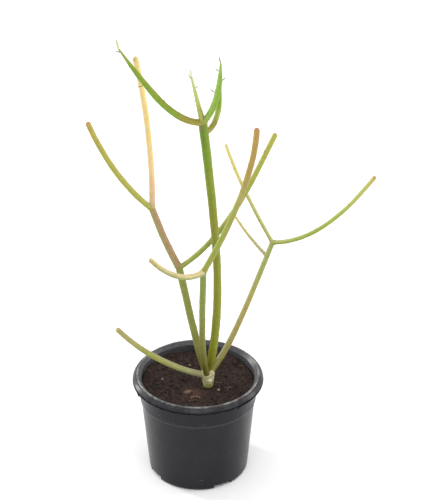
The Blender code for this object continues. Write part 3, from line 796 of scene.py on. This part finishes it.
def stem_skin():
    """A shader group: waxy stem skin, with mottling, upright streaks, pale specks, a flushed
    side (on some stems a paler upper side, partly painted top light) and brown corky marks over
    the colour that the stem has at that place."""
    inputs = (
        ("Colour along", "Color"), ("Flush", "Color"), ("Flush side", "Vector"),
        ("Flush share", "Float"), ("Mark", "Float"), ("Age", "Float"),
    )
    group, given, result, place = finish_group("stem_skin", inputs)
    stretched = add_node(group, "Mapping", Vector=place, Scale=(1, 1, 0.14)).outputs[0]
    streaks = grain(group, stretched, 1300, 3, 0.6)
    mottle = grain(group, place, 240, 4, 0.6)
    fine = grain(group, place, 2400, 2)
    facing = add_node(group, "NewGeometry").outputs["Normal"]
    turned = add_node(group, "VectorMath", {"operation": "DOT_PRODUCT"})
    group.links.new(facing, turned.inputs[0])
    group.links.new(given["Flush side"], turned.inputs[1])
    side = sum_up(group, "MULTIPLY_ADD", mottle, 0.3, sum_up(group, "ADD", turned.outputs["Value"], -0.15))
    side = sum_up(group, "MULTIPLY", fade(group, side, -0.15, 0.75), given["Flush share"])
    colour = mix_paint(group, side, given["Colour along"], given["Flush"])
    darker = mix_paint(group, 1.0, colour, (0.90, 0.91, 0.84), "MULTIPLY")
    colour = mix_paint(group, fade(group, mottle, 0.62, 0.36), colour, darker)
    lighter = mix_paint(group, 0.18, colour, (0.80, 0.78, 0.30))
    lift = sum_up(group, "MULTIPLY", fade(group, streaks, 0.52, 0.70), 0.30)
    colour = mix_paint(group, lift, colour, lighter)
    dots = add_node(group, "TexVoronoi", Vector=place, Scale=750.0).outputs["Distance"]
    dots = sum_up(group, "MULTIPLY", fade(group, dots, 0.20, 0.10), fade(group, mottle, 0.45, 0.60))
    colour = mix_paint(group, sum_up(group, "MULTIPLY", dots, 0.14), colour, (0.80, 0.78, 0.40))
    freckles = add_node(group, "TexVoronoi", Vector=place, Scale=420.0).outputs["Distance"]
    freckles = sum_up(group, "MULTIPLY", fade(group, freckles, 0.22, 0.10), given["Age"])
    colour = mix_paint(group, sum_up(group, "MULTIPLY", freckles, 0.22), colour, (0.13, 0.085, 0.040))
    corky = mix_paint(group, fade(group, fine, 0.35, 0.65), (0.16, 0.085, 0.045), (0.42, 0.27, 0.15))
    colour = mix_paint(group, given["Mark"], colour, corky)
    colour = mix_paint(group, 1.0, colour, WAX_SHADE, "MULTIPLY")
    group.links.new(colour, result["Colour"])
    roughness = sum_up(group, "MULTIPLY_ADD", mottle, 0.22, 0.34)
    group.links.new(sum_up(group, "MULTIPLY_ADD", given["Mark"], 0.25, roughness), result["Roughness"])
    height = sum_up(group, "MULTIPLY_ADD", fine, 0.35, streaks)
    group.links.new(sum_up(group, "MULTIPLY_ADD", dots, 0.4, height), result["Height"])
    return group


STEM_SKIN = stem_skin()


def skin_finish(name, tones, flush, age):
    """The skin of one stem.  Tones are (place along, colour); flush is (side, colour, share)."""
    finish, tree, shader = new_finish(name)
    along = add_node(tree, "UVMap", {"uv_map": "UVMap"}).outputs["UV"]
    along = add_node(tree, "SeparateXYZ", Vector=along).outputs["X"]
    wobble = grain(tree, add_node(tree, "TexCoord").outputs["Object"], 150, 2)
    along = sum_up(tree, "MULTIPLY_ADD", wobble, 0.10, sum_up(tree, "ADD", along, -0.05))
    ramp = add_node(tree, "ValToRGB", Fac=along)
    scale = ramp.color_ramp
    scale.interpolation = "EASE"
    scale.elements[0].position, colour = tones[0]
    scale.elements[0].color = (*colour, 1)
    scale.elements[1].position, colour = tones[-1]
    scale.elements[1].color = (*colour, 1)
    for position, colour in tones[1:-1]:
        scale.elements.new(position).color = (*colour, 1)
    skin = tree.nodes.new("ShaderNodeGroup")
    skin.node_tree = STEM_SKIN
    tree.links.new(ramp.outputs[0], skin.inputs["Colour along"])
    side, colour, share = flush
    skin.inputs["Flush side"].default_value = side
    skin.inputs["Flush"].default_value = (*colour, 1)
    skin.inputs["Flush share"].default_value = share
    skin.inputs["Age"].default_value = age
    mark = add_node(tree, "Attribute", {"attribute_name": "mark"}).outputs["Fac"]
    tree.links.new(mark, skin.inputs["Mark"])
    wire(tree, shader, skin.outputs["Colour"], skin.outputs["Roughness"], skin.outputs["Height"], 0.00018)
    shader.inputs["Specular IOR Level"].default_value = 0.25
    return finish


# A stem's slight wander comes from the seeded noise, so a fixed seed makes it grow alike each time
noise.seed_set(11)


def grow_stem(node, line, radii, forked, tones, flush, age=0.4, knots=()):
    """One stem with its swellings, leaf scars and skin, which stands for a CAD node.  Knots
    are (place along, heading, size, swelling): raised corky marks on one side."""
    length = sum((b - a).length for a, b in zip(line, line[1:]))
    stations = rounded_ends(smooth_line(line), radii, forked, 0.0008)
    chance = random.Random(node)
    marks = list(knots)
    place = 0.008 + 0.010 * chance.random()
    heading = 360 * chance.random()
    while place < length - 0.006:
        marks.append((place / length, heading, 0.0007, 0.00018))
        place += chance.uniform(0.009, 0.017)
        heading += chance.uniform(120, 200)
    shaped = []
    for point, radius, station in stations:
        swell = 1 + 0.05 * noise.noise(Vector((station * 60, len(node), 0)))
        swell += 0.030 * noise.noise(Vector((station * 220, 3, len(node))))
        swell += 0.28 * exp(-((station / 0.0030) ** 2))
        for place, _, size, rise in marks:
            if size < 0.001:
                swell += 0.025 * exp(-(((station - place * length) / 0.0014) ** 2))
        sway = 0.00022 * min(1, station / 0.01) * min(1, (length - station) / 0.01)
        wander = noise.noise_vector(Vector((station * 45, len(node) * 3, 7))) * max(0, sway)
        shaped.append((point + wander, radius * swell))
    stem = tube_along(node.replace("_stem", "_shoot") + "_grown", shaped, 24)
    mask = [0.0] * len(stem.data.vertices)
    for place, heading, size, rise in marks:
        middle = point_on(line, place)
        outward = Vector((cos(radians(heading)), sin(radians(heading)), 0.0))
        along = (point_on(line, place + 0.02) - point_on(line, place - 0.02)).normalized()
        outward = (outward - along * outward.dot(along)).normalized()
        spot = middle + outward * radius_at(radii, place)
        for index, vertex in enumerate(stem.data.vertices):
            away = (vertex.co - spot).length
            if away < size * 3:
                near = exp(-((away / size) ** 2))
                vertex.co += outward * rise * near
                mask[index] = min(1.0, max(mask[index], near * 1.1 - 0.1))
    store_mask(stem, "mark", mask)
    stem.data.materials.append(skin_finish(node + "_skin", tones, flush, age))
    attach(stem, "root")
    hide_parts(node)
    return line


RIGHT = (0.94, -0.30, 0.15)
LEFT = (-0.94, -0.30, 0.15)
TOP = (0.0, -0.10, 0.99)

leader = grow_stem(
    "leader_stem",
    growth_line(TRUNK_TOP + Vector((0.0004, 0.0020, 0)), (12, 6), (-9, 184), 2.5, 0.260),
    (0.0040, 0.0035, 0.0040),
    True,
    [(0.0, DARK_OLIVE), (0.12, OLIVE), (0.62, OLIVE), (0.75, (0.190, 0.255, 0.015)), (0.88, DEEP_GREEN),
     (0.96, (0.105, 0.215, 0.010)), (1.0, OLIVE_BROWN)],
    (RIGHT, YELLOW_GREEN, 0.30),
    0.5,
    [(0.985, 250, 0.0016, 0.0004), (0.52, 300, 0.0010, 0.0004), (0.33, 215, 0.0009, 0.0003)],
)


# --- Crown arms -------------------------------------------------------------------------
# Four young arms fork from the top of the leader.  They are fresh green, browned by the sun on
# their upper sides near the fork, and taper to soft points.

crown_fork = leader[-1]
crown_left = grow_stem(
    "crown_left_arm",
    growth_line(crown_fork, (77, 32), (220, 192), 3.0, 0.114),
    (0.0029, 0.0029, 0.0028, 0.0022, 0.0007),
    False,
    [(0.0, OLIVE_BROWN), (0.10, (0.360, 0.310, 0.055)), (0.20, OLIVE_BROWN), (0.33, LEAF_GREEN),
     (0.78, LEAF_GREEN), (0.90, (0.300, 0.400, 0.090)), (1.0, (0.350, 0.380, 0.130))],
    ((0.60, 0.10, 0.80), OLIVE_BROWN, 0.55),
    0.3,
    [(0.03, 180, 0.0014, 0.0003)],
)
crown_right = grow_stem(
    "crown_right_arm",
    growth_line(crown_fork, (44, 2), (-47, -31), 1.4, 0.068),
    (0.0027, 0.0027, 0.0026, 0.0024, 0.0008),
    False,
    [(0.0, OLIVE_BROWN), (0.10, (0.300, 0.340, 0.050)), (0.25, FRESH_GREEN), (0.75, FRESH_GREEN),
     (0.88, (0.340, 0.480, 0.100)), (1.0, (0.380, 0.450, 0.180))],
    (LEFT, (0.400, 0.560, 0.140), 0.50),
    0.2,
    [(0.05, 330, 0.0014, 0.0003)],
)
crown_middle = grow_stem(
    "crown_middle_arm",
    growth_line(crown_fork, (24, 24), (247, 247), 1.3, 0.058),
    (0.0028, 0.0018, 0.0010),
    False,
    [(0.0, OLIVE_BROWN), (0.12, (0.440, 0.400, 0.100)), (0.30, (0.430, 0.460, 0.110)), (0.55, LIME),
     (0.85, PALE_LIME), (1.0, (0.400, 0.500, 0.170))],
    (LEFT, PALE_LIME, 0.4),
    0.1,
    [],
)
grow_stem(
    "crown_back_arm",
    growth_line(point_on(leader, 0.965), (119, 0), (50, 60), 3.1, 0.055),
    (0.0025, 0.0024, 0.0017),
    False,
    [(0.0, OLIVE_BROWN), (0.30, OLIVE_BROWN), (0.42, (0.370, 0.450, 0.100)), (0.60, FRESH_GREEN),
     (1.0, FRESH_GREEN)],
    (LEFT, YELLOW_GREEN, 0.4),
    0.2,
    [(0.28, 330, 0.0012, 0.0003)],
)


# --- Low left arm -----------------------------------------------------------------------
# The lowest stem, which leaves the trunk almost level and curves up to a brown tip outside the
# rim.  A whitish bloom of wax covers its foot.

grow_stem(
    "low_left_arm",
    growth_line(TRUNK_FOOT.lerp(TRUNK_TOP, 0.96) + Vector((0, -0.0005, 0)), (73, 37), (187, 205), 1.3, 0.109),
    (0.0030, 0.0027, 0.0023),
    False,
    [(0.0, (0.400, 0.410, 0.210)), (0.15, (0.370, 0.390, 0.190)), (0.35, (0.350, 0.375, 0.120)),
     (0.60, (0.320, 0.350, 0.055)), (0.78, (0.380, 0.365, 0.110)), (1.0, (0.400, 0.325, 0.110))],
    # Its paler upper side is partly the skin's own colour and partly painted top light.
    (TOP, (0.550, 0.480, 0.270), 0.35),
    0.5,
    [(0.17, 90, 0.0012, 0.0003)],
)


# --- Left stem and its branchlets -------------------------------------------------------
# An olive stem that forks twice.  Its inner side is flushed brown by the sun, and its palest
# branchlet has a blunt, dried tip.

left_stem = grow_stem(
    "left_stem",
    growth_line(TRUNK_TOP + Vector((-0.0017, 0.0005, 0)), (26, 15), (137, 142), 4.0, 0.106),
    (0.0033, 0.0033, 0.0034),
    True,
    [(0.0, DARK_OLIVE), (0.12, (0.160, 0.150, 0.030)), (0.30, (0.220, 0.225, 0.050)), (0.45, MOSS),
     (1.0, MOSS)],
    (RIGHT, (0.290, 0.290, 0.080), 0.3),
    0.6,
)
left_upper = grow_stem(
    "left_stem_upper",
    growth_line(left_stem[-1], (28, 21), (166, 157), 1.4, 0.062),
    (0.0033, 0.0032, 0.0032),
    True,
    [(0.0, (0.290, 0.290, 0.090)), (0.85, (0.310, 0.310, 0.110)), (1.0, (0.260, 0.280, 0.070))],
    ((0.85, -0.50, 0.10), MAUVE, 0.95),
    0.4,
)
grow_stem(
    "left_outer_branchlet",
    growth_line(left_upper[-1], (44, 21), (209, 173), 1.1, 0.111),
    (0.0026, 0.0026, 0.0024),
    False,
    [(0.0, (0.280, 0.300, 0.040)), (0.15, YELLOW_GREEN), (0.70, (0.370, 0.380, 0.045)),
     (0.88, (0.440, 0.360, 0.055)), (0.955, TAN), (0.985, ROSE), (1.0, ROSE)],
    (RIGHT, (0.500, 0.440, 0.120), 0.55),
    0.3,
    [(0.78, 270, 0.0008, 0.0002), (0.38, 120, 0.0010, 0.0004)],
)
grow_stem(
    "left_pale_branchlet",
    growth_line(left_upper[-1], (4, 15), (72, 146), 0.9, 0.144),
    (0.0028, 0.0026, 0.0026),
    False,
    [(0.0, MAUVE), (0.04, (0.620, 0.430, 0.290)), (0.15, PEACH), (0.30, (0.880, 0.640, 0.320)), (0.50, CREAM),
     (0.90, CREAM), (1.0, (0.600, 0.470, 0.200))],
    (LEFT, (0.720, 0.540, 0.330), 0.5),
    0.2,
    [(0.985, 250, 0.0009, 0.0002)],
)
grow_stem(
    "left_inner_branchlet",
    growth_line(left_stem[-1], (53, 24), (-3, 8), 2.3, 0.161),
    (0.0023, 0.0025, 0.0024),
    False,
    [(0.0, MOSS), (0.08, (0.280, 0.340, 0.060)), (0.20, (0.270, 0.330, 0.050)), (0.30, (0.230, 0.260, 0.030)),
     (0.45, (0.330, 0.360, 0.080)), (0.75, (0.380, 0.410, 0.060)), (0.96, (0.440, 0.450, 0.080)),
     (0.985, ROSE), (1.0, ROSE)],
    (LEFT, (0.450, 0.440, 0.130), 0.3),
    0.4,
    [(0.88, 200, 0.0012, 0.0005)],
)


# --- Front stem and its branchlets ------------------------------------------------------
# An olive stem in front of the others, which forks into a long upright branchlet and a short
# pale one that reaches out level before it climbs.

front_stem = grow_stem(
    "front_stem",
    growth_line(TRUNK_TOP + Vector((-0.0009, -0.0020, 0)), (34, 6), (257, 284), 2.4, 0.134),
    (0.0028, 0.0028, 0.0029),
    True,
    [(0.0, (0.220, 0.210, 0.060)), (0.10, DARK_OLIVE), (0.30, (0.170, 0.160, 0.035)),
     (0.50, (0.190, 0.200, 0.030)), (0.70, (0.200, 0.250, 0.050)), (0.90, (0.200, 0.280, 0.060)),
     (1.0, (0.300, 0.350, 0.100))],
    (RIGHT, (0.280, 0.290, 0.090), 0.3),
    0.8,
)
grow_stem(
    "front_right_branchlet",
    growth_line(front_stem[-1], (27, 7), (-4, 207), 0.4, 0.152),
    (0.0026, 0.0026, 0.0026),
    False,
    [(0.0, (0.340, 0.340, 0.080)), (0.15, (0.290, 0.360, 0.050)), (0.35, (0.330, 0.380, 0.070)),
     (0.55, (0.390, 0.380, 0.100)), (0.72, (0.420, 0.290, 0.070)), (0.95, (0.480, 0.310, 0.080)),
     (0.985, ROSE), (1.0, ROSE)],
    (RIGHT, (0.420, 0.250, 0.100), 0.35),
    0.4,
)
grow_stem(
    "front_left_branchlet",
    growth_line(front_stem[-1], (86, 38), (234, 209), 1.3, 0.075),
    (0.0027, 0.0025, 0.0021),
    False,
    [(0.0, (0.340, 0.360, 0.120)), (0.30, (0.340, 0.380, 0.140)), (0.75, (0.400, 0.400, 0.160)),
     (0.90, (0.420, 0.370, 0.100)), (0.96, (0.360, 0.255, 0.085)), (1.0, OLIVE_BROWN)],
    # Its cream upper side is partly the skin's own colour and partly painted top light.
    ((0.10, -0.10, 0.98), (0.720, 0.580, 0.320), 0.9),
    0.3,
    [(0.80, 230, 0.0008, 0.0001)],
)


# --- Right stem and its branchlets ------------------------------------------------------
# An ochre stem with a bloomed foot that forks into two yellow-green branchlets, with a thin
# pale one just under the fork.

right_stem = grow_stem(
    "right_stem",
    growth_line(TRUNK_TOP + Vector((0.0013, 0, 0)), (43, 25), (25, 32), 3.7, 0.138),
    (0.0031, 0.0026, 0.0024),
    True,
    [(0.0, (0.420, 0.430, 0.260)), (0.05, (0.220, 0.205, 0.045)), (0.20, (0.270, 0.230, 0.050)),
     (0.32, (0.340, 0.270, 0.060)), (0.45, (0.410, 0.300, 0.070)), (0.60, (0.400, 0.360, 0.090)),
     (0.75, (0.330, 0.370, 0.090)), (1.0, (0.300, 0.360, 0.090))],
    (LEFT, (0.440, 0.440, 0.220), 0.5),
    0.6,
)
grow_stem(
    "right_outer_branchlet",
    growth_line(right_stem[-1], (74, 37), (-33, 9), 1.6, 0.124),
    (0.0020, 0.0019, 0.0019),
    False,
    [(0.0, (0.280, 0.310, 0.080)), (0.15, (0.330, 0.400, 0.090)), (0.35, (0.310, 0.380, 0.050)),
     (0.60, (0.360, 0.450, 0.070)), (0.76, (0.470, 0.490, 0.130)), (0.90, (0.530, 0.500, 0.150)),
     (0.955, (0.560, 0.440, 0.120)), (0.985, ROSE), (1.0, ROSE)],
    (TOP, (0.500, 0.550, 0.200), 0.4),
    0.2,
    [],
)
grow_stem(
    "right_inner_branchlet",
    growth_line(right_stem[-1], (38, 15), (144, 149), 0.4, 0.100),
    (0.0018, 0.0017, 0.0016),
    False,
    [(0.0, (0.380, 0.380, 0.140)), (0.20, (0.420, 0.430, 0.130)), (0.45, (0.480, 0.500, 0.170)),
     (0.70, (0.730, 0.640, 0.220)), (0.90, (0.800, 0.710, 0.260)), (1.0, (0.770, 0.690, 0.280))],
    (RIGHT, (0.660, 0.620, 0.300), 0.5),
    0.1,
    [],
)
grow_stem(
    "right_low_branchlet",
    growth_line(point_on(right_stem, 0.90), (62, 43), (139, 139), 0.7, 0.047),
    (0.0016, 0.0014, 0.0012),
    False,
    [(0.0, (0.300, 0.360, 0.080)), (0.12, (0.420, 0.410, 0.200)), (0.45, (0.460, 0.440, 0.200)),
     (0.75, (0.670, 0.580, 0.240)), (1.0, (0.780, 0.670, 0.290))],
    (RIGHT, (0.700, 0.620, 0.330), 0.4),
    0.1,
    [],
)


# --- Leaves -----------------------------------------------------------------------------
# Tiny narrow leaves, which a pencil cactus bears only on its youngest growth.  Each is a
# pointed blade, folded a little along its middle rib.

LEFT_ARM_RADII = (0.0029, 0.0029, 0.0028, 0.0022, 0.0007)
RIGHT_ARM_RADII = (0.0027, 0.0027, 0.0026, 0.0024, 0.0008)
MIDDLE_ARM_RADII = (0.0028, 0.0018, 0.0010)
TIP_OVERLAP = 0.0016
LEAF_SEAT = 0.0008
FRESH_TIPS = ("crown_left_tip_leaf", "crown_middle_tip_leaf")
LEAVES = {
    "crown_left_tip_leaf": (crown_left, LEFT_ARM_RADII, 1.0, 10, 175, 0.0085, 0.0020),
    "crown_left_leaf_1": (crown_left, LEFT_ARM_RADII, 0.96, 65, 195, 0.0058, 0.0010),
    "crown_left_leaf_2": (crown_left, LEFT_ARM_RADII, 0.64, 100, 190, 0.0062, 0.0010),
    "crown_left_leaf_3": (crown_left, LEFT_ARM_RADII, 0.44, 50, -20, 0.0030, 0.0007),
    "crown_left_leaf_4": (crown_left, LEFT_ARM_RADII, 0.35, 50, -35, 0.0025, 0.0007),
    "crown_middle_tip_leaf": (crown_middle, MIDDLE_ARM_RADII, 1.0, 4, 170, 0.0068, 0.0014),
    "crown_middle_leaf_1": (crown_middle, MIDDLE_ARM_RADII, 0.90, 30, 160, 0.0074, 0.0010),
    "crown_middle_leaf_2": (crown_middle, MIDDLE_ARM_RADII, 0.74, 45, 0, 0.0045, 0.0009),
    "crown_middle_leaf_3": (crown_middle, MIDDLE_ARM_RADII, 0.44, 55, 180, 0.0028, 0.0007),
    "crown_right_tip_leaf": (crown_right, RIGHT_ARM_RADII, 1.0, 15, 177, 0.0070, 0.0012),
    "crown_right_leaf_1": (crown_right, RIGHT_ARM_RADII, 0.57, 50, 185, 0.0064, 0.0010),
    "crown_right_leaf_2": (crown_right, RIGHT_ARM_RADII, 0.75, 45, 0, 0.0056, 0.0010),
    "crown_right_leaf_3": (crown_right, RIGHT_ARM_RADII, 0.88, 45, 176, 0.0054, 0.0009),
}


def leaf_finish(name, body, rib, tip):
    """A fresh blade with a paler rib, which dries grey-brown towards its point."""
    finish, tree, shader = new_finish(name)
    place = add_node(tree, "TexCoord").outputs["Object"]
    cells = grain(tree, place, 1800, 3, 0.6)
    from_rib = add_node(tree, "Attribute", {"attribute_name": "from_rib"}).outputs["Fac"]
    towards_tip = add_node(tree, "Attribute", {"attribute_name": "towards_tip"}).outputs["Fac"]
    shade = mix_paint(tree, fade(tree, cells, 0.35, 0.65), body, [value * 1.25 for value in body])
    colour = mix_paint(tree, fade(tree, from_rib, 0.30, 0.05), shade, rib)
    colour = mix_paint(tree, fade(tree, towards_tip, 0.55, 1.0), colour, tip)
    roughness = sum_up(tree, "MULTIPLY_ADD", cells, 0.2, 0.40)
    wire(tree, shader, colour, roughness, cells, 0.00015)
    return finish


def leaf_blade():
    """A pointed blade along +Z from the origin, two wide and two long, before it is sized."""
    bpy.ops.mesh.primitive_uv_sphere_add(segments=16, ring_count=16, radius=1)
    blade = bpy.context.object
    for vertex in blade.data.vertices:
        point = vertex.co
        narrowing = (1 - abs(point.z)) ** (0.3 if point.z > 0 else 0.1)
        point.x *= narrowing
        point.y *= narrowing
        point.y += 0.30 * abs(point.x)
        point.z += 1
    return blade


fresh_leaf = leaf_finish("fresh_leaf", (0.38, 0.52, 0.17), (0.55, 0.64, 0.30), (0.30, 0.32, 0.14))
dark_leaf = leaf_finish("drying_leaf", (0.17, 0.20, 0.09), (0.26, 0.28, 0.14), (0.10, 0.085, 0.06))
for node, (line, radii, at, lean, heading, length, width) in LEAVES.items():
    blade = leaf_blade()
    blade.name = node + "_blade"
    store_mask(blade, "from_rib", [min(1.0, abs(vertex.co.x)) for vertex in blade.data.vertices])
    store_mask(blade, "towards_tip", [vertex.co.z / 2 for vertex in blade.data.vertices])
    along = (point_on(line, at + 0.02) - point_on(line, at - 0.02)).normalized()
    pointing = direction(lean, heading)
    place = point_on(line, at)
    if at == 1:
        place -= pointing * TIP_OVERLAP
        length += TIP_OVERLAP
    else:
        outward = (pointing - along * pointing.dot(along)).normalized()
        place += outward * (radius_at(radii, at) - LEAF_SEAT)
    blade.scale = (width / 2, width / 3, length / 2)
    blade.rotation_euler = (0, radians(lean), radians(heading))
    blade.location = place
    bpy.ops.object.transform_apply(location=True, rotation=True, scale=True)
    bpy.ops.object.shade_smooth()
    blade.data.materials.append(fresh_leaf if node in FRESH_TIPS else dark_leaf)
    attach(blade, "root")
    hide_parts(node)


# --- Floor, light and camera ------------------------------------------------------------
# A plain white sweep in a white room, lit by three soft boxes: one at the left rear and one at
# the right, which draw the upright highlights on the pot, and one high in front.

finish, tree, shader = new_finish("white_sweep")
paper = grain(tree, add_node(tree, "TexCoord").outputs["Object"], 3.0, 2)
shade = mix_paint(tree, paper, (0.97, 0.97, 0.97), (0.99, 0.99, 0.99))
tree.links.new(shade, shader.inputs["Base Color"])
shader.inputs["Roughness"].default_value = 0.9
shader.inputs["Specular IOR Level"].default_value = 0.0
bpy.ops.mesh.primitive_plane_add(size=12, location=(0, 0, 0))
sweep = bpy.context.object
sweep.name = "white_sweep"
sweep.data.materials.append(finish)

room = bpy.data.worlds.new("white_room")
room.use_nodes = True
room.node_tree.nodes["Background"].inputs["Color"].default_value = (1.0, 1.0, 1.0, 1)
room.node_tree.nodes["Background"].inputs["Strength"].default_value = 0.98
bpy.context.scene.world = room


def soft_box(name, place, aim, width, height, power):
    """An upright area light at a place, turned towards what it lights."""
    bpy.ops.object.light_add(type="AREA", location=place)
    box = bpy.context.object
    box.name = name
    box.data.shape = "RECTANGLE"
    box.data.size = width
    box.data.size_y = height
    box.data.energy = power
    box.rotation_euler = (Vector(aim) - Vector(place)).to_track_quat("-Z", "Y").to_euler()


soft_box("left_rear_box", (-1.25, 0.72, 0.62), (0, 0, 0.05), 0.24, 1.1, 14.0)
soft_box("right_box", (1.40, 0.25, 0.62), (0, 0, 0.05), 0.30, 1.1, 7.0)
soft_box("front_box", (0.1, -1.1, 1.9), (0, 0, 0.1), 1.2, 0.8, 8.0)

bpy.ops.object.camera_add(location=(0.019, -1.466, 1.084), rotation=(radians(59.86), 0, 0))
camera = bpy.context.object
camera.data.sensor_width = 36
camera.data.lens = 136.8
bpy.context.scene.camera = camera
bpy.context.scene.view_settings.view_transform = "Standard"
